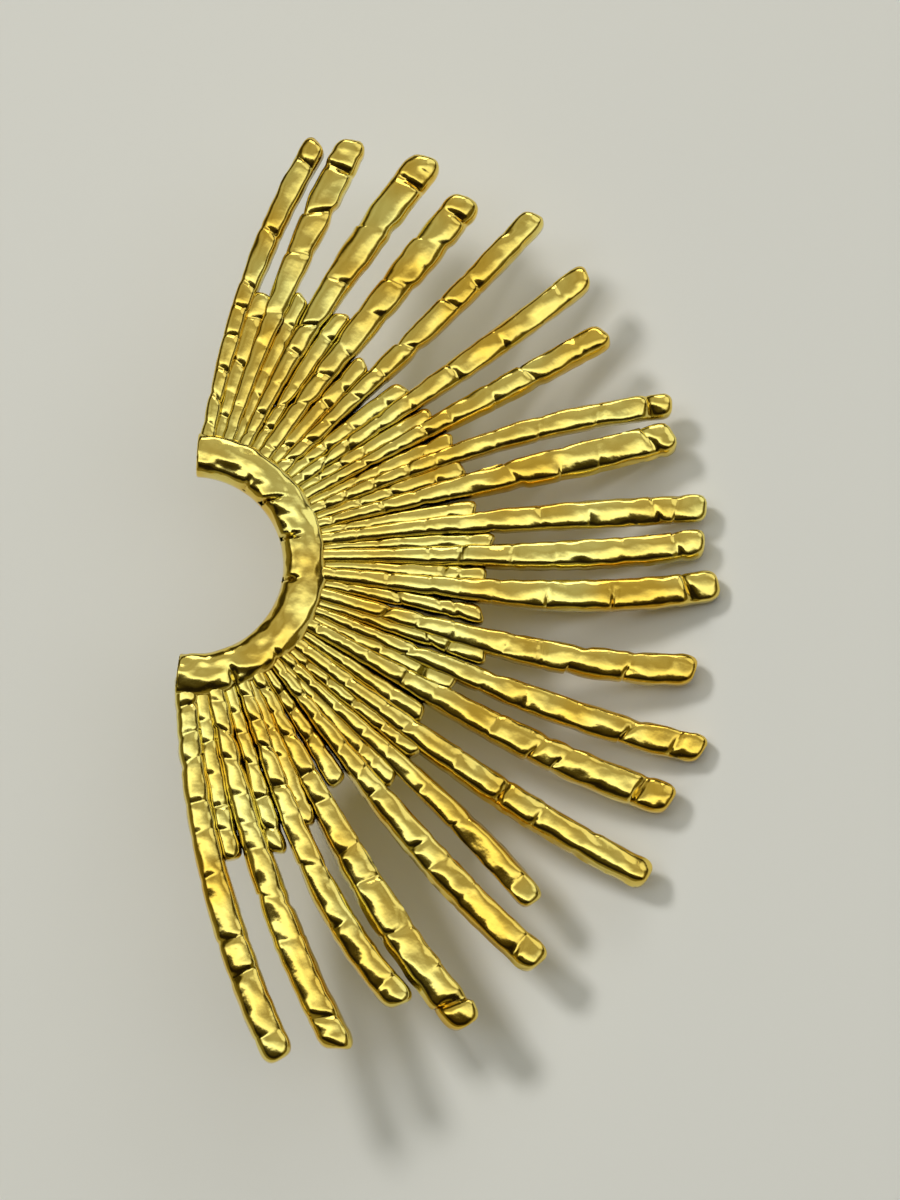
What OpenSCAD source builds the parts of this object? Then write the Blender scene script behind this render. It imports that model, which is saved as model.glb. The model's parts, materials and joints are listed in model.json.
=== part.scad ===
// Sunburst half-fan stud earring, one casting with a plain ear post on its back.
// The fan is drawn flat, with the half ring's centre at the origin, the rays towards +X and the
// front up. It is then laid down as it rests by itself: on the post's end and on two ray tips.

/* [Half ring] */
// Outer radius of the half ring
ring_outer_r = 9.3; // [8.8:0.1:9.7]
// Inner radius of the half ring, the open mouth of the fan
ring_inner_r = 6.5; // [5.5:0.1:7]
// Thickness of the half ring from back to front
ring_t = 2; // [1.8:0.1:2.6]
// Angle that the half ring covers, a little over half a turn
ring_sweep = 186; // [180:1:190]

/* [Rays] */
// Thickness of the long rays
long_t = 1.5; // [1.2:0.05:1.65]
// Thickness of the short rays that fill the root of the fan
short_t = 1.3; // [1:0.05:1.4]
// Width of the short rays at their blunt ends
short_w = 1.2; // [1:0.05:1.4]
// Share of a ray's full width that is left where it grows out of the half ring
root_share = 0.5; // [0.45:0.01:0.9]
// Length of a ray over which it reaches its full width
flare_l = 20; // [12:0.5:22]
// How far the hammer leaves the surface above or below a ray's plain form
hammer_depth = 0.07; // [0:0.01:0.1]

/* [Ear post] */
// Diameter of the ear post
post_d = 0.9; // [0.7:0.05:1.1]
// Length of the ear post from the casting's back to its end
post_l = 10.5; // [9:0.5:12]
// Angle of the post from the middle of the half ring, towards the fan's upper rays
post_angle = 6; // [0:1:12]
// Diameter of the foot that joins the post to the half ring
foot_d = 2.2; // [1.6:0.1:2.4]
// Thickness of that foot
foot_t = 0.4; // [0.3:0.1:0.6]
// Diameter of the post's blunt end, inside its bevel
post_end_d = 0.5; // [0.3:0.05:0.6]

/* [Hidden] */

// Columns of the table of long rays: the ray's angle where it leaves the half ring, 20 mm out
// and at its tip, in degrees from +X, then its reach from the centre and the full width of its
// front between the shoulders
A_ROOT = 0;
A_MID = 1;
A_TIP = 2;
REACH = 3;
WIDTH = 4;
LONG_RAYS = [
    [88.0, 84.0, 78.9, 32.1, 1.65],
    [79.2, 77.2, 74.6, 33.0, 2.15],
    [71.8, 69.1, 65.4, 34.2, 2.40],
    [61.9, 60.2, 58.6, 33.2, 2.35],
    [52.5, 51.1, 51.1, 35.4, 1.80],
    [44.0, 42.2, 42.0, 35.2, 1.90],
    [36.5, 35.2, 34.7, 33.8, 1.75],
    [29.5, 28.3, 23.8, 35.9, 1.65],
    [22.4, 21.2, 20.2, 35.3, 2.20],
    [15.8, 13.6, 11.5, 36.5, 1.90],
    [8.1, 6.6, 7.5, 36.1, 1.90],
    [0.5, -0.3, 2.9, 37.0, 2.10],
    [-8.7, -9.9, -7.0, 36.0, 2.15],
    [-16.3, -17.2, -15.3, 38.0, 2.10],
    [-22.9, -23.8, -21.7, 37.3, 2.25],
    [-33.0, -32.7, -29.9, 38.5, 1.95],
    [-41.0, -39.4, -40.2, 33.5, 1.75],
    [-46.0, -46.7, -44.5, 36.8, 2.10],
    [-55.5, -56.9, -54.4, 37.3, 2.25],
    [-62.4, -63.9, -59.7, 33.9, 2.00],
    [-74.8, -72.6, -68.2, 35.2, 2.20],
    [-87.1, -81.9, -75.0, 34.9, 2.00]];

// Each short ray fills the gap between two long rays: the angle of its blunt end and its reach
END_ANGLE = 0;
END_REACH = 1;
SHORT_RAYS = [
    [80.6, 20.2], [73.1, 20.9], [64.5, 21.0], [55.2, 19.0], [45.4, 19.7], [37.5, 20.0], [30.8, 20.4],
    [24.9, 20.3], [16.1, 20.3], [9.2, 21.2], [2.4, 20.6], [-5.2, 20.6], [-12.7, 21.5], [-20.5, 20.1],
    [-28.9, 19.3], [-35.7, 20.6], [-42.7, 20.7], [-51.8, 18.5], [-61.7, 20.0], [-68.7, 21.1],
    [-77.2, 20.9]];

// Radius at which the middle angle of a long ray is taken
mid_r = 20;
// Radius inside the half ring at which the rays begin, so that they grow out of solid metal
root_r = (ring_outer_r + ring_inner_r) / 2;
// Height of the rays' backs above the half ring's flat back
back_z = 0.15;
// Distance between a ray's sections, about the length of one hammer facet
facet_l = 2.5;
// Radius at which the short rays begin
short_root_r = ring_outer_r - 0.6;
// Radius of the half ring's middle, where the ear post stands
post_r = (ring_outer_r + ring_inner_r) / 2;
// Gap between the post's foot and the half ring, filled by solder on the real thing
solder_gap = 0.02;

// A ray's section, seen along the ray: share of the half width at its shoulders, and share of the
// thickness. Its sides lean out towards the back, as the sides of a casting do.
SECTION = [
    [-1.12, 0.00], [1.12, 0.00], [1.24, 0.12], [1.00, 0.70], [0.68, 0.93],
    [0.00, 1.00], [-0.68, 0.93], [-1.00, 0.70], [-1.24, 0.12]];
// Which point of the section is the crest that the hammer moves from side to side
CREST = 5;
// The rounded tip: distance back from the end, and share of the full width and thickness there
TIP = [[0.60, 1.00, 1.00], [0.18, 0.88, 0.97], [0.00, 0.62, 0.86]];

// Half ring's section as radius and height: flat back, bevelled front with a ridge near the rim
RING_SECTION = [
    [ring_inner_r + 0.12, 0], [ring_outer_r - 0.12, 0], [ring_outer_r, 0.2],
    [ring_outer_r, ring_t - 0.75], [ring_outer_r - 0.35, ring_t - 0.15],
    [ring_outer_r - 0.95, ring_t], [ring_inner_r + 0.55, ring_t - 0.25],
    [ring_inner_r + 0.08, ring_t - 0.7], [ring_inner_r, 0.2]];

// Angle of a long ray at radius r: the parabola through its three given angles
function ray_angle(ray, r) =
    let (a = ring_outer_r, b = mid_r, c = ray[REACH])
    ray[A_ROOT] * (r - b) * (r - c) / ((a - b) * (a - c))
    + ray[A_MID] * (r - a) * (r - c) / ((b - a) * (b - c))
    + ray[A_TIP] * (r - a) * (r - b) / ((c - a) * (c - b));

// Point of a ray's middle line at radius r, and the direction across the ray there
function polar(r, angle) = r * [cos(angle), sin(angle)];
function ray_point(ray, r) = polar(r, ray_angle(ray, r));
function unit(v) = v / norm(v);
function ray_across(ray, r) =
    let (along = unit(ray_point(ray, r + 0.1) - ray_point(ray, r - 0.1)))
    [-along[1], along[0]];

// Width that a ray has kept or gained at radius r
function flare(r) =
    let (s = min(1, max(0, (r - ring_outer_r) / flare_l)))
    root_share + (1 - root_share) * s * s * (3 - 2 * s);

// Even, repeatable unevenness between -1 and 1, such as a hammer leaves from blow to blow
function blow(i, j, k) = sin(i * 137 + j * 83 + k * 211 + 40 * sin(j * 151 + k * 97));

// One section of long ray i at radius r: w_share and t_share close it in at the tip
function long_section(i, j, r, w_share, t_share) =
    let (
        ray = LONG_RAYS[i],
        middle = ray_point(ray, r),
        across = ray_across(ray, r),
        half_w = ray[WIDTH] / 2 * flare(r) * w_share * (1 + hammer_depth * blow(i, j, 1)),
        t = long_t * t_share,
        lift = hammer_depth * blow(i, j, 2),
        lean = 0.3 * blow(i, j, 3))
    [for (k = [0 : len(SECTION) - 1])
        let (
            side = half_w * (SECTION[k][0] + (k == CREST ? lean : 0)),
            z = back_z + t * SECTION[k][1] + (SECTION[k][1] > 0.5 ? lift : 0))
        [middle[0] + across[0] * side, middle[1] + across[1] * side, z]];

// Radii of long ray i's sections, from the half ring to where its tip begins to round
function long_radii(i) =
    let (
        last = LONG_RAYS[i][REACH] - TIP[0][0],
        n = round((last - root_r) / facet_l))
    [for (j = [0 : n - 1]) root_r + (last - root_r) * j / n];

// All sections of long ray i, tip included
function long_sections(i) =
    let (radii = long_radii(i), n = len(radii), reach = LONG_RAYS[i][REACH])
    concat(
        [for (j = [0 : n - 1]) long_section(i, j, radii[j], 1, 1)],
        [for (k = [0 : len(TIP) - 1]) long_section(i, n, reach - TIP[k][0], TIP[k][1], TIP[k][2])]);

// Solid through a row of sections that all have the same number of points
module loft(sections) {
    n = len(sections[0]);
    last = len(sections) - 1;
    points = [for (section = sections) each section];
    sides = [
        for (s = [0 : last - 1], k = [0 : n - 1])
            let (a = s * n + k, b = s * n + (k + 1) % n)
            each [[a, a + n, b + n], [a, b + n, b]]];
    caps = [[for (k = [0 : n - 1]) k], [for (k = [n - 1 : -1 : 0]) last * n + k]];
    polyhedron(points, concat(sides, caps));
}

// Flat half ring that carries the rays, with its ends cut square
module half_ring() {
    rotate([0, 0, -ring_sweep / 2])
        rotate_extrude(angle = ring_sweep, $fn = 84)
            polygon(RING_SECTION);
}

// Thin slice of a short ray, set across it at radius r
module short_slice(angle, r, w, t) {
    rotate([0, 0, angle])
        translate([r, 0, back_z])
            rotate([90, 0, 90])
                linear_extrude(height = 0.1, center = true)
                    polygon([for (p = SECTION) [p[0] * w / 2, p[1] * t]]);
}

// Short ray i, wedged between long rays i and i + 1, hammered lower at its middle
module short_ray(i) {
    end = SHORT_RAYS[i];
    root_angle = (LONG_RAYS[i][A_ROOT] + LONG_RAYS[i + 1][A_ROOT]) / 2;
    half_r = (short_root_r + end[END_REACH]) / 2;
    half_angle = (root_angle + end[END_ANGLE]) / 2;
    half_t = short_t - hammer_depth * (1 + blow(i, 0, 5));
    hull() {
        short_slice(root_angle, short_root_r, short_w * root_share, short_t);
        short_slice(half_angle, half_r, short_w * 0.9, half_t);
    }
    hull() {
        short_slice(half_angle, half_r, short_w * 0.9, half_t);
        short_slice(end[END_ANGLE], end[END_REACH] - 0.3, short_w, short_t);
        short_slice(end[END_ANGLE], end[END_REACH] - 0.05, short_w * 0.75, short_t * 0.85);
    }
}

// The whole casting, flat, front up
module flat_casting() {
    half_ring();
    for (i = [0 : len(LONG_RAYS) - 1])
        loft(long_sections(i));
    for (i = [0 : len(SHORT_RAYS) - 1])
        short_ray(i);
}

// Ear post with its foot and bevelled end, pointing down from the half ring's back
module flat_post() {
    bevel = (post_d - post_end_d) / 2;
    translate(polar(post_r, post_angle)) {
        translate([0, 0, -solder_gap - foot_t])
            cylinder(h = foot_t, d = foot_d, $fn = 48);
        translate([0, 0, -post_l + bevel])
            cylinder(h = post_l - bevel - solder_gap - foot_t / 2, d = post_d, $fn = 48);
        translate([0, 0, -post_l])
            cylinder(h = bevel, d1 = post_end_d, d2 = post_d, $fn = 48);
    }
}

// How the earring rests: on the rim of the post's end and on the tips of two long rays. The
// lowest corner of each tip is found for a first guess of the slope, and gives the slope.
LEFT_TIP = 13;
RIGHT_TIP = 11;
function tip_points(i) = let (s = long_sections(i), n = len(s)) concat(s[n - 1], s[n - 2], s[n - 3]);
function lowest(points, up) =
    let (heights = [for (p = points) p * up], low = min(heights))
    [for (i = [0 : len(points) - 1]) if (heights[i] == low) points[i]][0];
function post_rim(up) =
    let (
        down = unit([-up[0], -up[1]]),
        rim = polar(post_r, post_angle) + down * post_end_d / 2)
    [rim[0], rim[1], -post_l];
function slope(up) =
    let (
        a = post_rim(up),
        b = lowest(tip_points(LEFT_TIP), up),
        c = lowest(tip_points(RIGHT_TIP), up))
    unit(cross(b - a, c - a));
rest_up = slope(slope(slope([0.3, 0, 0.95])));
rest_turn = [atan2(rest_up[1], rest_up[2]), -atan2(rest_up[0], norm([rest_up[1], rest_up[2]])), 0];

// The same turn for points, to centre the earring over the origin and set it on the floor
function turned(p) =
    let (
        ca = cos(rest_turn[0]), sa = sin(rest_turn[0]),
        cb = cos(rest_turn[1]), sb = sin(rest_turn[1]),
        q = [p[0], p[1] * ca - p[2] * sa, p[1] * sa + p[2] * ca])
    [q[0] * cb + q[2] * sb, q[1], q[2] * cb - q[0] * sb];
function ring_end(side) = [
    for (p = RING_SECTION)
        [p[0] * cos(ring_sweep / 2), side * p[0] * sin(ring_sweep / 2), p[1]]];
outer_points = [
    for (i = [0 : len(LONG_RAYS) - 1]) each [for (s = long_sections(i)) each [for (p = s) turned(p)]],
    for (side = [-1, 1]) each [for (p = ring_end(side)) turned(p)],
    turned(post_rim(rest_up))];
function span(axis) = [min([for (p = outer_points) p[axis]]), max([for (p = outer_points) p[axis]])];
span_x = span(0);
span_y = span(1);
span_z = span(2);
rest_shift = [-(span_x[0] + span_x[1]) / 2, -(span_y[0] + span_y[1]) / 2, -span_z[0]];

// Lays down what is drawn flat
module at_rest() {
    translate(rest_shift)
        rotate(rest_turn)
            children();
}

// Casting in hammered gold-coloured metal
module sunburst() {
    color("goldenrod")
        at_rest()
            flat_casting();
}

// Plain ear post
module ear_post() {
    color("gold")
        at_rest()
            flat_post();
}

sunburst();
ear_post();
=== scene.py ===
"""Hammered sunburst half-fan stud earring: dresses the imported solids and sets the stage."""
import json
import math
import random
from collections import namedtuple

import bmesh
import bpy
from bpy.props import FloatProperty, IntProperty, PointerProperty, StringProperty
from mathutils import Euler, Matrix, Vector


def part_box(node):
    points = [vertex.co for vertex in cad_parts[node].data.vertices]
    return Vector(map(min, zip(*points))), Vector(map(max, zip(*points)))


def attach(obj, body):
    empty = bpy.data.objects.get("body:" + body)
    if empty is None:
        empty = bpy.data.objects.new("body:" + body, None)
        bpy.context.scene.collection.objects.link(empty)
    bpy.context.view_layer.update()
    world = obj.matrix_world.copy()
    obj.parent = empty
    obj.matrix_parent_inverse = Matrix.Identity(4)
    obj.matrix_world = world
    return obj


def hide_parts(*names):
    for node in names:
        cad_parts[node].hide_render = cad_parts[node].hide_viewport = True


bl_info = {
    "name": "Sunburst earring",
    "version": (1, 0, 0),
    "blender": (4, 5, 0),
    "location": "3D View > Sidebar > Earring",
    "description": "Models a hammered gold sunburst half-fan stud with its ear post",
    "category": "Add Mesh",
}

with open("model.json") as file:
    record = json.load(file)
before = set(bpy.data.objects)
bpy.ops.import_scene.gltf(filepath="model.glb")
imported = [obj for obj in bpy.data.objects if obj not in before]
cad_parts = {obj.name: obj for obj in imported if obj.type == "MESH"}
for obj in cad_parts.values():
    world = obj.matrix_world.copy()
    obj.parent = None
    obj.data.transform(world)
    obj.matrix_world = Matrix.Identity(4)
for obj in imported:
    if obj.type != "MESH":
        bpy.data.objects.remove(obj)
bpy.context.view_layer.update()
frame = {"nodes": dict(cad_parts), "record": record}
MM = 0.001

# Long rays from the top of the fan: the ray's angle where it leaves the half ring, 20 mm out and
# at its tip, in degrees from the fan's middle, then its reach and the full width of its front
# between the shoulders, in millimetres
LongRay = namedtuple("LongRay", "root mid tip reach width")
LONG_RAYS = [
    LongRay(88.0, 84.0, 78.9, 32.1, 1.65),
    LongRay(79.2, 77.2, 74.6, 33.0, 2.15),
    LongRay(71.8, 69.1, 65.4, 34.2, 2.40),
    LongRay(61.9, 60.2, 58.6, 33.2, 2.35),
    LongRay(52.5, 51.1, 51.1, 35.4, 1.80),
    LongRay(44.0, 42.2, 42.0, 35.2, 1.90),
    LongRay(36.5, 35.2, 34.7, 33.8, 1.75),
    LongRay(29.5, 28.3, 23.8, 35.9, 1.65),
    LongRay(22.4, 21.2, 20.2, 35.3, 2.20),
    LongRay(15.8, 13.6, 11.5, 36.5, 1.90),
    LongRay(8.1, 6.6, 7.5, 36.1, 1.90),
    LongRay(0.5, -0.3, 2.9, 37.0, 2.10),
    LongRay(-8.7, -9.9, -7.0, 36.0, 2.15),
    LongRay(-16.3, -17.2, -15.3, 38.0, 2.10),
    LongRay(-22.9, -23.8, -21.7, 37.3, 2.25),
    LongRay(-33.0, -32.7, -29.9, 38.5, 1.95),
    LongRay(-41.0, -39.4, -40.2, 33.5, 1.75),
    LongRay(-46.0, -46.7, -44.5, 36.8, 2.10),
    LongRay(-55.5, -56.9, -54.4, 37.3, 2.25),
    LongRay(-62.4, -63.9, -59.7, 33.9, 2.00),
    LongRay(-74.8, -72.6, -68.2, 35.2, 2.20),
    LongRay(-87.1, -81.9, -75.0, 34.9, 2.00),
]

# Short rays, one between each two long ones: angle of the blunt end, and reach in millimetres
ShortRay = namedtuple("ShortRay", "angle reach")
SHORT_RAYS = [
    ShortRay(80.6, 20.2), ShortRay(73.1, 20.9), ShortRay(64.5, 21.0), ShortRay(55.2, 19.0),
    ShortRay(45.4, 19.7), ShortRay(37.5, 20.0), ShortRay(30.8, 20.4), ShortRay(24.9, 20.3),
    ShortRay(16.1, 20.3), ShortRay(9.2, 21.2), ShortRay(2.4, 20.6), ShortRay(-5.2, 20.6),
    ShortRay(-12.7, 21.5), ShortRay(-20.5, 20.1), ShortRay(-28.9, 19.3), ShortRay(-35.7, 20.6),
    ShortRay(-42.7, 20.7), ShortRay(-51.8, 18.5), ShortRay(-61.7, 20.0), ShortRay(-68.7, 21.1),
    ShortRay(-77.2, 20.9),
]

# Notches in the half ring's shoulders: angle, reach over the front from the mouth, or from the
# rim where it is below zero, and depth, in millimetres, and how far the notch slants along the
# ring for each millimetre across it
Notch = namedtuple("Notch", "angle reach depth slant")
RING_NOTCHES = [
    Notch(-66.0, -1.7, 0.55, 0.10), Notch(-44.0, -1.1, 0.35, 0.20), Notch(-5.0, 1.2, 0.45, 0.10),
    Notch(21.0, 1.6, 0.55, -0.15), Notch(47.0, 1.8, 0.60, -0.60), Notch(61.0, 0.9, 0.30, 0.0),
]
# Half of a notch's width where it leaves the ring's shoulder
NOTCH_HALF = 0.30
# Width of the slope filed along the half ring's rim, and its drop for each millimetre
RIM_SLOPE = (0.68, 0.40)

# Sizes from here to the foot of the post are in millimetres, and in metres where MM takes part

# Radius at which a long ray's middle angle is taken
MID_R = 20.0
# Height of the rays' backs above the half ring's flat back
BACK_Z = 0.17
# Height of the crown along a bar's middle, as a share of its width
CROWN = 0.02
# Width of a bar's back over the width of its front: the sides lean out, as a casting's do
BACK_SHARE = 1.26
# How far a bar is forged past its back before the back is filed flat, and how far up it is filed
FILED = 0.2
BACK_BAND = 0.12
# Distances from a ray's root at which the blows near it stand in rows round the half ring
ROOT_ROWS = (2.2, 4.0, 6.0, 8.7, 11.0)
# Half of a nick's length along a bar, and the share of its width that the bar keeps there
NICK_HALF = 0.25
NICK_WAIST = 0.97
# Shares of the nick's full depth that are drawn for blows near the root, further out and at the
# tip, and the degrees that a nick tips there
ROOT_DEPTHS = (0.1, 0.3, 0.5, 0.9)
ROOT_TIPS = (-2, 6)
MIDDLE_DEPTHS = (0.0, 0.0, 0.0, 0.1, 0.2, 0.8)
MIDDLE_TIPS = (0, 2, 4, 7, 12)
TIP_DEPTHS = (0.0, 0.1, 0.5, 1.1)
TIP_TIPS = (0, 2, 6, 12)
# Most that a blow strays from its row, the least and most of a facet's length further out as
# shares of the usual one, and the room that the tip's block keeps before it
ROW_STRAY = 0.25
FACET_SHARES = (0.5, 1.4)
FACET_ROOM = 1.2
# Least and most length of the block that the last blow sets off at a bar's tip
TIP_BLOCK = (1.7, 2.7)
# Most that a nick skews either way, in degrees, and the least and most that a facet rises
NICK_SKEW = 24
FACET_RISE = (-0.05, 0.03)
# Depth of a facet's hollow, and the distance between its stations
HOLLOW = 0.03
STATION_STEP = 0.55
# A rounded tip: distance from the end over half the width, and the shares of width and thickness
TIP = ((0.90, 1.02, 1.0), (0.55, 0.96, 0.98), (0.28, 0.84, 0.94), (0.10, 0.66, 0.87),
       (0.0, 0.42, 0.76))
# Length of a bar's end that the tip takes the place of
TIP_LENGTH = 1.2
# Share of its width over which a bar's front corners are rounded
RING_ROUND = 0.28
LONG_ROUND = 0.33
SHORT_ROUND = 0.35
# Stations of the straight half ring, and how far in from its ends they begin; the shares of width
# and thickness at its very ends
RING_STATIONS = 44
RING_INSET = 0.12
RING_END = (0.94, 0.93)
# Waves of the half ring's front: how many are drawn, the distance from one to the next, the most
# that one rises, and the most that it tips the front, in degrees
RING_WAVES = 16
WAVE_STEP = 2
WAVE_RISE = 0.04
WAVE_ROLL = 3
# Depth of the half ring's dents over that of the rays'
RING_DENTS = 1.5
# Steps of the lines that the half ring, a long ray and a short ray are bent along
RING_STEPS = 90
LONG_STEPS = 40
SHORT_STEPS = 12
# How far inside the half ring's rim the short rays begin
SHORT_INSET = 0.6
# Seeds of the rays: step from one seed to the next, and where the short rays' numbers begin
SEED_STEP = 100
SHORT_SEED = 50
# Least upward share of a surface's direction at which the dents take it for a bar's front
FRONT_NORMAL = 0.35
# Length at a ray's root over which the dents grow to their depth, and their share at its start
CALM = 14 * MM
CALM_SHARE = 0.3
# The post stands this many degrees round the half ring from its middle
POST_ANGLE = 6.0
# Solder gap and thickness of the post's foot
FOOT_GAP = 0.02
FOOT_THICK = 0.4
# Points of the fused casting that are merged, and the angle up to which its faces are smooth
MERGE = 0.002 * MM
SMOOTH_ANGLE = math.radians(38)

# Sizes of the plate's warmer patches, its worn spots and its polishing marks, and of the clouds
# on the drawn wire
PATCH_SIZE = 6.25 * MM
WORN_SIZE = 10 * MM / 9
POLISH_SIZE = 10 * MM / 13
WIRE_CLOUD_SIZE = 10 * MM / 12
# Side of the square floor, in metres
FLOOR_SIZE = 3

# One cross-section of a bar as it is forged: place along the bar, width and thickness in
# millimetres, and the roll and the skew that the hammer gave it, in degrees
Station = namedtuple("Station", "x width thick roll skew", defaults=(0,))

# One blow of the hammer: the facet's start and end along the bar, the depth of the nick at its
# start, all in millimetres, the facet's roll and the nick's roll and skew in degrees, and the
# facet's rise in millimetres
Blow = namedtuple("Blow", "start end nick roll nick_roll nick_skew rise")


class EarringSizes(bpy.types.PropertyGroup):
    """Driving sizes of the earring."""

    ring_outer: FloatProperty(name="Ring outer radius", description="Outer radius of the half ring",
                              default=9.3 * MM, unit="LENGTH")
    ring_inner: FloatProperty(name="Ring inner radius", description="Radius of the open mouth",
                              default=6.5 * MM, unit="LENGTH")
    ring_thick: FloatProperty(name="Ring thickness", description="Half ring from back to front",
                              default=2.0 * MM, unit="LENGTH")
    ring_sweep: FloatProperty(name="Ring sweep", description="Angle that the half ring covers",
                              default=math.radians(186), subtype="ANGLE")
    long_thick: FloatProperty(name="Long ray thickness", description="Back to front",
                              default=1.5 * MM, unit="LENGTH")
    short_thick: FloatProperty(name="Short ray thickness", description="Back to front",
                               default=1.3 * MM, unit="LENGTH")
    short_width: FloatProperty(name="Short ray width", description="Width at the blunt end",
                               default=1.4 * MM, unit="LENGTH")
    long_root: FloatProperty(name="Long root share", subtype="FACTOR", default=0.78,
                             description="Long ray's width at the ring, of its room there")
    short_root: FloatProperty(name="Short root share", subtype="FACTOR", default=0.66,
                              description="Short ray's width at the ring, of its room there")
    flare: FloatProperty(name="Flare", description="Length over which a ray gains its width",
                         default=20.0 * MM, unit="LENGTH")
    ring_slope: FloatProperty(name="Ring slope", default=math.radians(3), subtype="ANGLE",
                              description="Slope of the half ring's front towards its mouth")


class HammerMarks(bpy.types.PropertyGroup):
    """How the surface was worked."""

    seed: IntProperty(name="Seed", description="Start of the order of the blows", default=7)
    flat_share: FloatProperty(name="Flat share", description="Share of the dents on flat fronts",
                              default=0.7, subtype="FACTOR")
    side_share: FloatProperty(name="Side share", description="Share of the dents on the sides",
                              default=0.10, subtype="FACTOR")
    stretch: FloatProperty(name="Dent stretch", description="Length of a dent over its width",
                           default=1.5, subtype="FACTOR")
    facet: FloatProperty(name="Facet length", description="Usual distance between two blows",
                         default=3.4 * MM, unit="LENGTH")
    roll: FloatProperty(name="Facet roll", description="Most that a blow tips a facet sideways",
                        default=math.radians(5), subtype="ANGLE")
    wobble: FloatProperty(name="Wobble", default=math.radians(4), subtype="ANGLE",
                          description="Most that the front tips from one place to the next")
    ripple: FloatProperty(name="Ripple", default=0.045, subtype="FACTOR",
                          description="Share of its width by which a shoulder waves")
    nick: FloatProperty(name="Nick depth", description="Depth of the nicks between facets",
                        default=0.26 * MM, unit="LENGTH")
    dent: FloatProperty(name="Dent depth", description="Depth of the small dents all over",
                        default=0.22 * MM, unit="LENGTH")
    dent_size: FloatProperty(name="Dent size", description="Usual width of a small dent",
                             default=1.2 * MM, unit="LENGTH")


class EarringColours(bpy.types.PropertyGroup):
    """Colours as sRGB hex."""

    gold: StringProperty(name="Gold", description="Polished gold plate", default="#F6E682")
    warm_gold: StringProperty(name="Warm gold", description="Redder patches of the plate",
                              default="#F0C850")
    # Painted shade: the dark brown that the gold turns to in the grooves between the rays
    painted_recess_shade: StringProperty(name="Recess", description="Painted shade between the rays",
                           default="#33240A")
    post_gold: StringProperty(name="Post gold", description="Plated wire", default="#F8E07A")
    floor: StringProperty(name="Floor", description="Plain pale floor", default="#E8E7E0")
    room: StringProperty(name="Room", description="Walls that the gold mirrors",
                         default="#E9F0F6")
    shade: StringProperty(name="Shade", description="Dark side of the room", default="#0C0804")
    umber: StringProperty(name="Umber", description="Foot of the walls", default="#443D19")
    tan: StringProperty(name="Tan", description="Lower part of the walls", default="#6D684E")
    grey: StringProperty(name="Grey", description="Walls in half light", default="#8B8B88")


def linear(hex_colour):
    """sRGB hex to linear RGBA."""
    parts = [int(hex_colour[i:i + 2], 16) / 255 for i in (1, 3, 5)]
    return [c / 12.92 if c <= 0.04045 else ((c + 0.055) / 1.055) ** 2.4 for c in parts] + [1.0]


def node(tree, kind, links=None, **settings):
    """Adds a node, sets its own settings or its sockets by name, and links its inputs."""
    made = tree.nodes.new(kind)
    for name, value in settings.items():
        if hasattr(made, name):
            setattr(made, name, value)
        else:
            made.inputs[name.replace("_", " ").title()].default_value = value
    for name, source in (links or {}).items():
        tree.links.new(source, made.inputs[name])
    return made


def only(obj):
    """Selects one object and makes it active."""
    bpy.ops.object.select_all(action="DESELECT")
    obj.select_set(True)
    bpy.context.view_layer.objects.active = obj


def apply_modifier(obj, name, kind, **settings):
    """Adds a modifier with its settings and applies it."""
    only(obj)
    modifier = obj.modifiers.new(name, kind)
    for key, value in settings.items():
        setattr(modifier, key, value)
    bpy.ops.object.modifier_apply(modifier=modifier.name)


def select_vertices(obj, test):
    """In edit mode, selects the vertices whose place passes a test."""
    bpy.ops.mesh.select_mode(type="VERT")
    bpy.ops.mesh.select_all(action="DESELECT")
    mesh = bmesh.from_edit_mesh(obj.data)
    for vertex in mesh.verts:
        vertex.select = test(vertex.co)
    mesh.select_flush_mode()
    bmesh.update_edit_mesh(obj.data)


def start_section(name, station, round_share):
    """Adds a plane across the bar's start and rounds its front corners: the first section."""
    bpy.ops.object.select_all(action="DESELECT")
    height = station.thick + FILED
    middle = (0, 0, (station.thick - FILED) / 2 * MM)
    bpy.ops.mesh.primitive_plane_add(size=1, location=middle, rotation=(0, math.pi / 2, 0))
    bar = bpy.context.object
    bar.name = name
    bpy.ops.object.transform_apply(location=True, rotation=True, scale=True)
    bpy.ops.object.mode_set(mode="EDIT")
    width = station.width * MM
    bpy.ops.transform.resize(value=(1, width, height * MM), center_override=middle)
    select_vertices(bar, lambda co: co.z < middle[2])
    bpy.ops.transform.resize(value=(1, BACK_SHARE, 1), center_override=middle)
    select_vertices(bar, lambda co: co.z > middle[2])
    bpy.ops.mesh.bevel(offset=round_share * width, segments=3, affect="VERTICES")
    select_vertices(bar, lambda co: co.z > (station.thick - 0.001) * MM)
    bpy.ops.mesh.subdivide(number_cuts=1)
    select_vertices(bar, lambda co: co.z > middle[2] and abs(co.y) < 0.001 * MM)
    bpy.ops.transform.translate(value=(0, 0, CROWN * width))
    bpy.ops.mesh.select_all(action="SELECT")
    return bar


def turn_section(station, way):
    """Rolls and skews the section that is being forged, or takes that back."""
    axis = (station.x * MM, 0, station.thick / 2 * MM)
    for degrees, letter in ((station.roll, "X"), (station.skew, "Z"))[::way]:
        if degrees:
            bpy.ops.transform.rotate(value=-way * math.radians(degrees), orient_axis=letter,
                                     center_override=axis)


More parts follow.
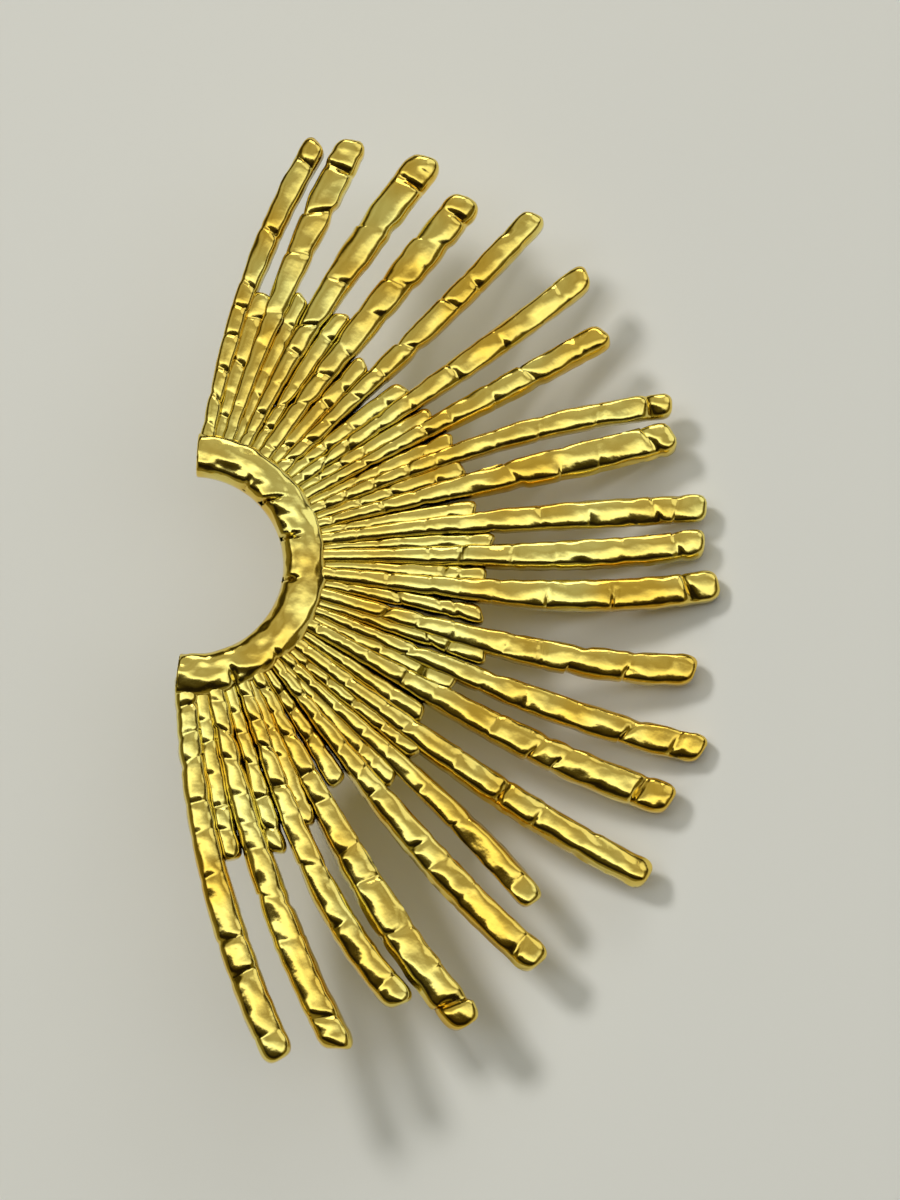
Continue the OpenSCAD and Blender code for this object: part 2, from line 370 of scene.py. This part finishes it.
def forge(name, stations, round_share, rounds=1):
    """Forges a straight bar along X: its section is drawn out from station to station."""
    bar = start_section(name, stations[0], round_share)
    for before, now in zip(stations, stations[1:]):
        bpy.ops.mesh.extrude_region_move(
            TRANSFORM_OT_translate={"value": ((now.x - before.x) * MM, 0, 0)})
        turn_section(Station(now.x, before.width, before.thick, before.roll, before.skew), -1)
        scale = (1, now.width / before.width, (now.thick + FILED) / (before.thick + FILED))
        bpy.ops.transform.resize(value=scale, center_override=(now.x * MM, 0, -FILED * MM))
        turn_section(now, 1)
    bpy.ops.mesh.select_all(action="SELECT")
    bpy.ops.mesh.normals_make_consistent(inside=False)
    bpy.ops.object.mode_set(mode="OBJECT")
    apply_modifier(bar, "round", "SUBSURF", levels=rounds, render_levels=rounds)
    return bar


def notch(bar, item, place, half_width, floor):
    """Presses one wedge-shaped notch into a shoulder of the straight half ring."""
    side = math.copysign(1, item.reach)
    for vertex in bar.data.vertices:
        x, y, z = vertex.co / MM
        across = half_width - side * y
        near = 1 - abs(x - place - item.slant * across) / NOTCH_HALF
        deep = 1 - across / abs(item.reach)
        if z > floor and near > 0 and deep > 0:
            vertex.co.z -= item.depth * MM * near * min(1, deep)


def file_rim(bar, half_width, thick):
    """Files a slope along the rim of the straight half ring."""
    slope_width, drop = RIM_SLOPE
    for vertex in bar.data.vertices:
        x, y, z = vertex.co / MM
        over = slope_width - (half_width + y)
        if over > 0 and z > thick / 2:
            vertex.co.z = min(z, thick - drop * over) * MM


def between(values, place):
    """Value at a place between the given ones, one apart."""
    i = min(int(place), len(values) - 2)
    return values[i] + (values[i + 1] - values[i]) * (place - i)


def file_back(bar):
    """Files the bar's back flat at height zero."""
    only(bar)
    bpy.ops.object.mode_set(mode="EDIT")
    select_vertices(bar, lambda co: co.z < BACK_BAND * MM)
    bpy.ops.transform.resize(value=(1, 1, 0), center_override=(0, 0, 0))
    bpy.ops.object.mode_set(mode="OBJECT")


def bend(bar, points):
    """Bends a straight bar so that it follows a line of points in the fan's plane."""
    bpy.ops.object.select_all(action="DESELECT")
    bpy.ops.curve.primitive_nurbs_path_add(location=(0, 0, 0))
    path = bpy.context.object
    path.data.dimensions = "2D"
    path.data.splines.clear()
    spline = path.data.splines.new("POLY")
    spline.points.add(len(points) - 1)
    for knot, (x, y) in zip(spline.points, points):
        knot.co = (x, y, 0, 1)
    apply_modifier(bar, "bend", "CURVE", object=path, deform_axis="POS_X")
    bpy.data.objects.remove(path)


def lift(bar, height):
    """Raises the bar's place in its mesh."""
    only(bar)
    bar.location.z = height
    bpy.ops.object.transform_apply(location=True, rotation=False, scale=False)


def dent(bar, marks, rng, share=1.0, calm=0.0):
    """Presses the small dents of the hammer into a straight bar, longer along it than across:
    in full along its shoulders, less on its flat front and least down its sides. They are
    shallower over a calm length at the bar's root."""
    struck = bar.vertex_groups.new(name="struck")
    for vertex in bar.data.vertices:
        steep = math.sqrt(max(0.0, 1 - vertex.normal.z ** 2))
        if vertex.normal.z > FRONT_NORMAL:
            weight = marks.flat_share + (1 - marks.flat_share) * min(1.0, 3 * steep)
        else:
            weight = marks.side_share
        if vertex.co.x < calm:
            weight *= CALM_SHARE + (1 - CALM_SHARE) * max(0.0, vertex.co.x / calm)
        struck.add([vertex.index], weight, "REPLACE")
    bpy.ops.object.select_all(action="DESELECT")
    bpy.ops.object.empty_add(location=[rng.uniform(-1, 1) for _ in "xyz"])
    print_of_hammer = bpy.context.object
    print_of_hammer.scale = (marks.stretch, 1, 1)
    texture = bpy.data.textures.get("dents") or bpy.data.textures.new("dents", "CLOUDS")
    texture.noise_scale = marks.dent_size
    texture.noise_depth = 1
    apply_modifier(bar, "dents", "DISPLACE", texture=texture, texture_coords="OBJECT",
                   texture_coords_object=print_of_hammer, strength=marks.dent * share,
                   mid_level=0.5, vertex_group="struck")
    bpy.data.objects.remove(print_of_hammer)


def polar(radius, degrees):
    """Point of the fan's plane at a radius and an angle."""
    angle = math.radians(degrees)
    return (radius * math.cos(angle), radius * math.sin(angle))


def ray_angle(ray, radius, ring):
    """Angle of a long ray at a radius in millimetres: the parabola through its three angles."""
    a, b, c = ring, MID_R, ray.reach
    return (
        ray.root * (radius - b) * (radius - c) / ((a - b) * (a - c))
        + ray.mid * (radius - a) * (radius - c) / ((b - a) * (b - c))
        + ray.tip * (radius - a) * (radius - b) / ((c - a) * (c - b)))


def length_of(points):
    """Length of the line through the points."""
    return sum(math.dist(p, q) for p, q in zip(points, points[1:]))


def flared(x, length, root, full):
    """Width of a ray at a distance from its root."""
    s = min(1.0, max(0.0, x / length))
    return root + (full - root) * s * s * (3 - 2 * s)


def room_at_ring(i, ring):
    """Room along the half ring's rim for a long ray and its short neighbour, in millimetres."""
    before, after = LONG_RAYS[max(0, i - 1)].root, LONG_RAYS[min(len(LONG_RAYS) - 1, i + 1)].root
    gaps = min(len(LONG_RAYS) - 1, i + 1) - max(0, i - 1)
    return math.radians(before - after) / gaps * ring


def blows(length, marks, rng):
    """The hammer's blows along a bar: in rows near its root, then less even, where most of them
    only notch its lower shoulder, and one that sets off its tip."""
    facet = marks.facet / MM
    last = length - rng.uniform(*TIP_BLOCK)
    rows = [row for row in ROOT_ROWS if row < last - 1]
    starts = [0.0] + [row + rng.uniform(-ROW_STRAY, ROW_STRAY) for row in rows]
    in_rows = len(starts)
    while starts[-1] + FACET_SHARES[1] * facet + FACET_ROOM < last:
        starts.append(starts[-1] + facet * rng.uniform(*FACET_SHARES))
    starts.append(last)
    found = []
    for i, (start, end) in enumerate(zip(starts, starts[1:] + [length])):
        if i < in_rows:
            depth, tip = rng.choice(ROOT_DEPTHS), rng.uniform(*ROOT_TIPS)
        elif start < last:
            depth, tip = rng.choice(MIDDLE_DEPTHS), rng.choice(MIDDLE_TIPS)
        else:
            depth, tip = rng.choice(TIP_DEPTHS), rng.choice(TIP_TIPS)
        roll = math.degrees(marks.roll) * rng.uniform(-1, 1)
        found.append(Blow(start, end, marks.nick / MM * depth, roll, roll + tip,
                          rng.uniform(-NICK_SKEW, NICK_SKEW), rng.uniform(*FACET_RISE)))
    return found


def facet_stations(blow, width_at, thick):
    """Stations of one facet: the nick at its start, then a slight hollow. A nick's roll cuts
    deeper on the side that it tips to and leaves the other side as high as it was."""
    inner = blow.end - blow.start - 2 * NICK_HALF
    count = max(2, round(inner / STATION_STEP))
    width = width_at(blow.start) * NICK_WAIST
    cut = blow.nick + width / 2 * math.sin(math.radians(abs(blow.nick_roll - blow.roll)))
    found = [Station(blow.start, width, thick - cut, blow.nick_roll, blow.nick_skew)]
    for k in range(count + 1):
        s = k / count
        x = blow.start + NICK_HALF + inner * s
        depth = HOLLOW * math.sin(math.pi * s)
        skew = blow.nick_skew * max(0, 1 - 4 * s)
        found.append(Station(x, width_at(x), thick + blow.rise - depth, blow.roll, skew))
    return found


def hammered(length, width_at, thick, marks, rng):
    """Stations of a hammered bar: facets that tip this way and that, with nicks between, and
    shoulders that wave from one place to the next."""
    found = []
    wobble = math.degrees(marks.wobble)
    for blow in blows(length, marks, rng):
        for station in facet_stations(blow, width_at, thick):
            found.append(station._replace(
                width=station.width * (1 + marks.ripple * rng.uniform(-1, 1)),
                roll=station.roll + wobble * rng.uniform(-1, 1)))
    return found


def blunt(stations, length, width, thick, roll):
    """Ends a bar in a blunt, rounded tip."""
    kept = [s for s in stations if s.x < length - TIP_LENGTH]
    return kept + [
        Station(length - back * width / 2, width * wide, thick * high, roll)
        for back, wide, high in TIP]


# The bars forged so far, each bent and in its place: the half ring first, then the rays
BARS = []


class EARRING_OT_half_ring(bpy.types.Operator):
    """Forge the half ring as a hammered bar and bend it round"""

    bl_idname = "earring.half_ring"
    bl_label = "Half ring"

    def execute(self, context):
        sizes, marks = context.scene.earring_sizes, context.scene.earring_marks
        rng = random.Random(marks.seed)
        radius = (sizes.ring_outer + sizes.ring_inner) / 2
        width = (sizes.ring_outer - sizes.ring_inner) / MM
        thick = sizes.ring_thick / MM
        length = radius * sizes.ring_sweep / MM
        slope = -math.degrees(sizes.ring_slope)
        sweep = math.degrees(sizes.ring_sweep)
        waves = [rng.uniform(-1, 1) for _ in range(RING_WAVES)]
        end_width, end_thick = width * RING_END[0], thick * RING_END[1]
        stations = [Station(0, end_width, end_thick, slope)]
        for k in range(RING_STATIONS):
            x = RING_INSET + (length - 2 * RING_INSET) * k / (RING_STATIONS - 1)
            wave = between(waves, x / WAVE_STEP)
            stations.append(
                Station(x, width, thick + WAVE_RISE * wave, slope + WAVE_ROLL * wave))
        stations.append(Station(length, end_width, end_thick, slope))
        bar = forge("half_ring", stations, RING_ROUND, rounds=2)
        file_rim(bar, width / 2, thick)
        for item in RING_NOTCHES:
            place = (item.angle + sweep / 2) / sweep * length
            notch(bar, item, place, width / 2, thick / 2)
        dent(bar, marks, rng, RING_DENTS)
        file_back(bar)
        start = -sizes.ring_sweep / 2
        turns = [start + sizes.ring_sweep * k / RING_STEPS for k in range(RING_STEPS + 1)]
        bend(bar, [(radius * math.cos(t), radius * math.sin(t)) for t in turns])
        BARS.append(bar)
        return {"FINISHED"}


class EARRING_OT_long_rays(bpy.types.Operator):
    """Forge each long ray and bend it along its line"""

    bl_idname = "earring.long_rays"
    bl_label = "Long rays"

    def execute(self, context):
        sizes, marks = context.scene.earring_sizes, context.scene.earring_marks
        ring = sizes.ring_outer / MM
        root = (sizes.ring_outer + sizes.ring_inner) / 2 / MM
        thick = sizes.long_thick / MM
        for i, ray in enumerate(LONG_RAYS):
            rng = random.Random(marks.seed * SEED_STEP + i)
            radii = [root + (ray.reach - root) * k / LONG_STEPS for k in range(LONG_STEPS + 1)]
            points = [polar(r * MM, ray_angle(ray, r, ring)) for r in radii]
            length = length_of(points) / MM
            narrow = sizes.long_root * room_at_ring(i, ring)
            width_at = lambda x: flared(x - (ring - root), sizes.flare / MM, narrow, ray.width)
            stations = hammered(length, width_at, thick, marks, rng)
            stations = blunt(stations, length, ray.width, thick, stations[-1].roll)
            bar = forge(f"long_ray_{i + 1:02d}", stations, LONG_ROUND)
            dent(bar, marks, rng, calm=CALM)
            file_back(bar)
            bend(bar, points)
            lift(bar, BACK_Z * MM)
            BARS.append(bar)
        return {"FINISHED"}


class EARRING_OT_short_rays(bpy.types.Operator):
    """Forge each short ray and lay it between its two long ones"""

    bl_idname = "earring.short_rays"
    bl_label = "Short rays"

    def execute(self, context):
        sizes, marks = context.scene.earring_sizes, context.scene.earring_marks
        root = sizes.ring_outer / MM - SHORT_INSET
        thick = sizes.short_thick / MM
        width = sizes.short_width / MM
        for i, ray in enumerate(SHORT_RAYS):
            rng = random.Random(marks.seed * SEED_STEP + SHORT_SEED + i)
            start = (LONG_RAYS[i].root + LONG_RAYS[i + 1].root) / 2
            steps = [k / SHORT_STEPS for k in range(SHORT_STEPS + 1)]
            points = [
                polar((root + (ray.reach - root) * s) * MM, start + (ray.angle - start) * s)
                for s in steps]
            length = length_of(points) / MM
            narrow = sizes.short_root * room_at_ring(i, sizes.ring_outer / MM)
            width_at = lambda x: flared(x, length, narrow, width)
            stations = hammered(length, width_at, thick, marks, rng)
            stations = blunt(stations, length, width, thick, stations[-1].roll)
            bar = forge(f"short_ray_{i + 1:02d}", stations, SHORT_ROUND)
            dent(bar, marks, rng, calm=CALM)
            file_back(bar)
            bend(bar, points)
            lift(bar, BACK_Z * MM)
            BARS.append(bar)
        return {"FINISHED"}


class EARRING_OT_fuse(bpy.types.Operator):
    """Fuse the half ring and all rays into one casting and lay it down as it rests"""

    bl_idname = "earring.fuse"
    bl_label = "Fuse the casting"

    def execute(self, context):
        casting = BARS[0]
        casting.name = "sunburst_casting"
        rays = bpy.data.collections.new("rays")
        for bar in BARS[1:]:
            rays.objects.link(bar)
        apply_modifier(casting, "fuse", "BOOLEAN", operand_type="COLLECTION", collection=rays,
                       operation="UNION", solver="MANIFOLD")
        for bar in BARS[1:]:
            bpy.data.objects.remove(bar)
        bpy.data.collections.remove(rays)
        BARS.clear()
        turn, place = rest_place(context.scene.earring_sizes)
        only(casting)
        casting.rotation_euler = turn
        casting.location = place
        bpy.ops.object.transform_apply(location=True, rotation=True, scale=True)
        bpy.ops.object.mode_set(mode="EDIT")
        bpy.ops.mesh.select_all(action="SELECT")
        bpy.ops.mesh.remove_doubles(threshold=MERGE)
        bpy.ops.object.mode_set(mode="OBJECT")
        bpy.ops.object.shade_smooth_by_angle(angle=SMOOTH_ANGLE)
        casting.data.materials.clear()
        casting.data.materials.append(gold_material(context.scene.earring_colours))
        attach(casting, "root")
        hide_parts("sunburst")
        return {"FINISHED"}


def rest_place(sizes):
    """Turn of the fan and place of its centre, from the mount on the ear post.

    The mount lies on the post's axis, half the length of its wall above the bevelled end."""
    post = next(m for m in frame["record"]["mounts"] if m["name"] == "post")
    up = -Vector(post["axis"]).normalized()
    turn = Euler((-math.asin(up.y), math.atan2(up.x, up.z), 0))
    foot_and_half_wall = FOOT_GAP + FOOT_THICK + post["dims"]["length_mm"] / 2
    x, y = polar(sizes.ring_outer / 2 + sizes.ring_inner / 2, POST_ANGLE)
    on_back = Vector(post["pos_m"]) + up * foot_and_half_wall * MM
    return turn, on_back - turn.to_matrix() @ Vector((x, y, 0))


def gold_material(colours):
    """Gold-plated brass, hammered and then polished: mirror-like patches of slightly different
    warmth, with faint polishing marks that soften the reflections here and there, and painted
    shade: dark brown where ambient occlusion finds the grooves between the rays closed in."""
    material = bpy.data.materials.new("hammered polished gold plate")
    material.use_nodes = True
    tree = material.node_tree
    shader = tree.nodes["Principled BSDF"]
    shader.inputs["Metallic"].default_value = 1.0
    place = node(tree, "ShaderNodeTexCoord").outputs["Object"]
    patches = node(tree, "ShaderNodeTexNoise", {"Vector": place}, scale=1 / PATCH_SIZE,
                   detail=2.0)
    warmth = node(tree, "ShaderNodeMapRange", {"Value": patches.outputs["Fac"]}, from_min=0.36,
                  from_max=0.64)
    tint = node(tree, "ShaderNodeMix", {"Factor": warmth.outputs["Result"]}, data_type="RGBA")
    tint.inputs["A"].default_value = linear(colours.gold)
    tint.inputs["B"].default_value = linear(colours.warm_gold)
    # Painted shade: ambient occlusion darkens the base colour to dark brown where the casting is
    # closed in between the rays
    open_share = node(tree, "ShaderNodeAmbientOcclusion", samples=6, distance=1.2 * MM)
    unshaded_share = node(tree, "ShaderNodeMapRange", {"Value": open_share.outputs["AO"]}, from_min=0.18,
                 from_max=0.68)
    colour = node(tree, "ShaderNodeMix", {"Factor": unshaded_share.outputs["Result"],
                                          "B": tint.outputs["Result"]}, data_type="RGBA")
    colour.inputs["A"].default_value = linear(colours.painted_recess_shade)
    tree.links.new(colour.outputs["Result"], shader.inputs["Base Color"])
    wear = node(tree, "ShaderNodeTexNoise", {"Vector": place}, scale=1 / WORN_SIZE,
                detail=3.0)
    rough = node(tree, "ShaderNodeMapRange", {"Value": wear.outputs["Fac"]})
    rough.inputs["To Min"].default_value = 0.08
    rough.inputs["To Max"].default_value = 0.20
    tree.links.new(rough.outputs["Result"], shader.inputs["Roughness"])
    marks = node(tree, "ShaderNodeTexNoise", {"Vector": place}, scale=1 / POLISH_SIZE,
                 detail=2.0)
    bump = node(tree, "ShaderNodeBump", {"Height": marks.outputs["Fac"]})
    bump.inputs["Strength"].default_value = 0.45
    bump.inputs["Distance"].default_value = 0.05 * MM
    tree.links.new(bump.outputs["Normal"], shader.inputs["Normal"])
    return material


def post_material(colours):
    """Gold-plated drawn wire: smooth and bright, faintly clouded between two golds."""
    material = bpy.data.materials.new("drawn gold-plated wire")
    material.use_nodes = True
    tree = material.node_tree
    shader = tree.nodes["Principled BSDF"]
    shader.inputs["Metallic"].default_value = 1.0
    shader.inputs["Roughness"].default_value = 0.2
    place = node(tree, "ShaderNodeTexCoord").outputs["Object"]
    clouds = node(tree, "ShaderNodeTexNoise", {"Vector": place}, scale=1 / WIRE_CLOUD_SIZE)
    tint = node(tree, "ShaderNodeMix", {"Factor": clouds.outputs["Fac"]}, data_type="RGBA")
    tint.inputs["A"].default_value = linear(colours.post_gold)
    tint.inputs["B"].default_value = linear(colours.gold)
    tree.links.new(tint.outputs["Result"], shader.inputs["Base Color"])
    return material


class EARRING_OT_post(bpy.types.Operator):
    """Give the ear post its finish"""

    bl_idname = "earring.post"
    bl_label = "Ear post"

    def execute(self, context):
        post = frame["nodes"]["ear_post"]
        post.data.materials.clear()
        post.data.materials.append(post_material(context.scene.earring_colours))
        return {"FINISHED"}


class EARRING_OT_stage(bpy.types.Operator):
    """Set the pale floor, the soft lights and the camera"""

    bl_idname = "earring.stage"
    bl_label = "Stage"

    def execute(self, context):
        colours = context.scene.earring_colours
        add_floor(colours)
        add_room(context.scene, colours)
        add_lights(context.scene)
        add_camera(context.scene)
        context.scene.view_settings.view_transform = "Standard"
        return {"FINISHED"}


def add_floor(colours):
    """Plain pale floor of satin laminate, which gives soft shadows and a faint sheen."""
    bpy.ops.object.select_all(action="DESELECT")
    bpy.ops.mesh.primitive_plane_add(size=FLOOR_SIZE, location=(0, 0, 0))
    floor = bpy.context.object
    floor.name = "floor"
    material = bpy.data.materials.new("pale satin laminate")
    material.use_nodes = True
    shader = material.node_tree.nodes["Principled BSDF"]
    shader.inputs["Base Color"].default_value = linear(colours.floor)
    shader.inputs["Roughness"].default_value = 0.45
    floor.data.materials.append(material)


def smooth(tree, value, start, end, low, high):
    """Eases a value from low to high while the cosine of an angle goes from start to end."""
    return node(tree, "ShaderNodeMapRange", {"Value": value}, interpolation_type="SMOOTHSTEP",
                from_min=math.cos(math.radians(start)), from_max=math.cos(math.radians(end)),
                to_min=low, to_max=high).outputs["Result"]


def facing(tree, aim, towards):
    """Cosine of the angle between the direction that is looked in and a given one."""
    dot = node(tree, "ShaderNodeVectorMath", {0: aim}, operation="DOT_PRODUCT")
    dot.inputs[1].default_value = Vector(towards).normalized()
    return dot.outputs["Value"]


def combined(tree, first, second, operation):
    """Two values put together by an operation, such as their product."""
    return node(tree, "ShaderNodeMath", {0: first, 1: second}, operation=operation).outputs["Value"]


# Light of the ceiling, light of its bright side above the fan, the angles above the fan's front
# between which that side fades into the rest, the ceiling's middle, the angles from there over
# which it passes into the walls, and the walls' share of its light
CEILING = 0.22
BAND_LIGHT = 0.84
BAND_EDGE = (19.0, -3.0)
CEILING_MIDDLE = (-0.10, 0.25, 1.0)
WALL_EDGE = (54.0, 38.0)
WALL_LIGHT = 0.07
# Middle of the room's dark side, how much it is drawn out along the rays, the angles from its
# middle over which it begins and is darkest, and the share of the light that is left there
DARK_MIDDLE = (-0.12, -0.62, 0.77)
DARK_SQUEEZE = 0.6
DARK_EDGE = (33.0, 29.0)
DARK_LIGHT = 0.03
# The walls' paler foot: the angles from the ceiling's middle over which it begins, and its light
LOW_EDGE = (70.0, 84.0)
LOW_LIGHT = 0.10
# A pale lamp shade beyond the fan's upper rays: its middle, the angles from there over which it
# fades in, and its light
LAMP_MIDDLE = (0.50, 0.60, 0.62)
LAMP_EDGE = (21.0, 13.0)
LAMP_LIGHT = 0.55
# The light at which the walls turn umber, tan and grey before they are white
UMBER_LIGHT = 0.065
TAN_LIGHT = 0.17
GREY_LIGHT = 0.30
# Strength of all of the room's light
ROOM_STRENGTH = 2.2


def add_room(scene, colours):
    """Room that the gold mirrors: a pale, softly uneven ceiling, walls that darken downwards
    through grey, tan and umber and are a little paler at their foot, a lamp shade beyond the upper
    rays, and one dark side beyond the lower rays, where whoever looks at the fan stands. Its
    directions are given in the fan's frame: rays, chord and front."""
    world = bpy.data.worlds.new("room")
    scene.world = world
    world.use_nodes = True
    tree = world.node_tree
    background = tree.nodes["Background"]
    aim = node(tree, "ShaderNodeTexCoord").outputs["Generated"]
    turn, _ = rest_place(scene.earring_sizes)
    fan_axes = turn.to_matrix().transposed()
    rays, chord, front = (facing(tree, aim, axis) for axis in fan_axes)
    uneven = node(tree, "ShaderNodeTexNoise", {"Vector": aim}, scale=2.2, detail=1.0)
    patchy = node(tree, "ShaderNodeMapRange", {"Value": uneven.outputs["Fac"]}, from_min=0.3,
                  from_max=0.7, to_min=0.8, to_max=1.2).outputs["Result"]
    band = smooth(tree, chord, 90 - BAND_EDGE[0], 90 - BAND_EDGE[1], CEILING, BAND_LIGHT)
    seen = node(tree, "ShaderNodeCombineXYZ", {"X": rays, "Y": chord, "Z": front})
    from_middle = facing(tree, seen.outputs["Vector"], CEILING_MIDDLE)
    high = smooth(tree, from_middle, WALL_EDGE[0], WALL_EDGE[1], WALL_LIGHT, 1.0)
    low = smooth(tree, from_middle, LOW_EDGE[0], LOW_EDGE[1], 0.0, LOW_LIGHT)
    lamp = smooth(tree, facing(tree, seen.outputs["Vector"], LAMP_MIDDLE), LAMP_EDGE[0],
                  LAMP_EDGE[1], 0.0, LAMP_LIGHT)
    wide = node(tree, "ShaderNodeVectorMath", {0: seen.outputs["Vector"]}, operation="MULTIPLY")
    wide.inputs[1].default_value = (DARK_SQUEEZE, 1.0, 1.0)
    unit = node(tree, "ShaderNodeVectorMath", {0: wide.outputs["Vector"]}, operation="NORMALIZE")
    lit = smooth(tree, facing(tree, unit.outputs["Vector"], DARK_MIDDLE), DARK_EDGE[0],
                 DARK_EDGE[1], 1.0, DARK_LIGHT)
    light = patchy
    for share in (band, high, lit):
        light = combined(tree, light, share, "MULTIPLY")
    for extra in (low, lamp):
        light = combined(tree, light, extra, "MAXIMUM")
    paint = node(tree, "ShaderNodeValToRGB", {"Fac": light})
    stops = paint.color_ramp.elements
    stops[0].color, stops[1].color = linear(colours.shade), linear(colours.room)
    stops.new(UMBER_LIGHT).color = linear(colours.umber)
    stops.new(TAN_LIGHT).color = linear(colours.tan)
    stops.new(GREY_LIGHT).color = linear(colours.grey)
    tree.links.new(paint.outputs["Color"], background.inputs["Color"])
    background.inputs["Strength"].default_value = ROOM_STRENGTH


def add_lights(scene):
    """The light that draws the shadows, which the gold doesn't mirror, and a wider soft box beyond
    the fan's top end, which it does. Sizes are in metres and powers in watts."""
    for name, place, wide, high, power in (
        ("shadow light", (-0.45, 0.40, 0.80), 0.20, 0.20, 3.8),
        ("soft box", (0.15, 0.85, 0.45), 0.50, 0.30, 1.1),
    ):
        lamp = bpy.data.lights.new(name, "AREA")
        lamp.shape = "RECTANGLE"
        lamp.size = wide
        lamp.size_y = high
        lamp.energy = power
        body = bpy.data.objects.new(name, lamp)
        scene.collection.objects.link(body)
        body.location = place
        body.rotation_euler = (-Vector(place)).to_track_quat("-Z", "Y").to_euler()
        body.visible_glossy = name == "soft box"


# How the photograph looks at the fan: degrees below its front's normal and to the left of it,
# and how far its chord leans to the right of the picture's upright
VIEW_BELOW = 11.0
VIEW_LEFT = 3.0
VIEW_LEAN = 4.3
# Distance of the camera from the fan, and the height of the picture there, in millimetres
VIEW_DISTANCE = 240.0
VIEW_HEIGHT = 84.0


def add_camera(scene):
    """Camera at the photograph's angle to the fan."""
    turn, centre = rest_place(scene.earring_sizes)
    turn = turn.to_matrix()
    low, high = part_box("sunburst")
    aim = (low + high) / 2
    below, left = math.radians(VIEW_BELOW), math.radians(VIEW_LEFT)
    towards = turn @ Vector((-math.sin(left), -math.sin(below), math.cos(below)))
    towards.normalize()
    lean = math.radians(VIEW_LEAN)
    upright = turn @ Vector((-math.sin(lean), math.cos(lean), 0))
    right = upright.cross(towards).normalized()
    upright = towards.cross(right)
    lens = bpy.data.cameras.new("camera")
    lens.sensor_fit = "VERTICAL"
    lens.sensor_height = 24.0
    lens.lens = lens.sensor_height * VIEW_DISTANCE / VIEW_HEIGHT
    lens.clip_start = 0.01
    camera = bpy.data.objects.new("camera", lens)
    scene.collection.objects.link(camera)
    camera.location = aim + towards * VIEW_DISTANCE * MM
    axes = [right, upright, towards]
    camera.rotation_euler = Matrix(axes).transposed().to_euler()
    scene.camera = camera


class EARRING_PT_panel(bpy.types.Panel):
    """Lists the sizes, the marks, the colours and the steps"""

    bl_label = "Sunburst earring"
    bl_idname = "EARRING_PT_panel"
    bl_space_type = "VIEW_3D"
    bl_region_type = "UI"
    bl_category = "Earring"

    def draw(self, context):
        scene = context.scene
        for group in (scene.earring_sizes, scene.earring_marks, scene.earring_colours):
            box = self.layout.box()
            for name in group.__annotations__:
                box.prop(group, name)
        for step in STEPS:
            self.layout.operator(step.bl_idname)


STEPS = (
    EARRING_OT_stage,
    EARRING_OT_half_ring,
    EARRING_OT_long_rays,
    EARRING_OT_short_rays,
    EARRING_OT_fuse,
    EARRING_OT_post,
)
CLASSES = (EarringSizes, HammerMarks, EarringColours) + STEPS + (EARRING_PT_panel,)


def register():
    for cls in CLASSES:
        bpy.utils.register_class(cls)
    bpy.types.Scene.earring_sizes = PointerProperty(type=EarringSizes)
    bpy.types.Scene.earring_marks = PointerProperty(type=HammerMarks)
    bpy.types.Scene.earring_colours = PointerProperty(type=EarringColours)


def unregister():
    del bpy.types.Scene.earring_colours
    del bpy.types.Scene.earring_marks
    del bpy.types.Scene.earring_sizes
    for cls in reversed(CLASSES):
        bpy.utils.unregister_class(cls)


def main():
    register()
    bpy.ops.object.select_all(action="DESELECT")
    bpy.ops.earring.stage()
    bpy.ops.earring.half_ring()
    bpy.ops.earring.long_rays()
    bpy.ops.earring.short_rays()
    bpy.ops.earring.fuse()
    bpy.ops.earring.post()


if __name__ == "__main__":
    main()
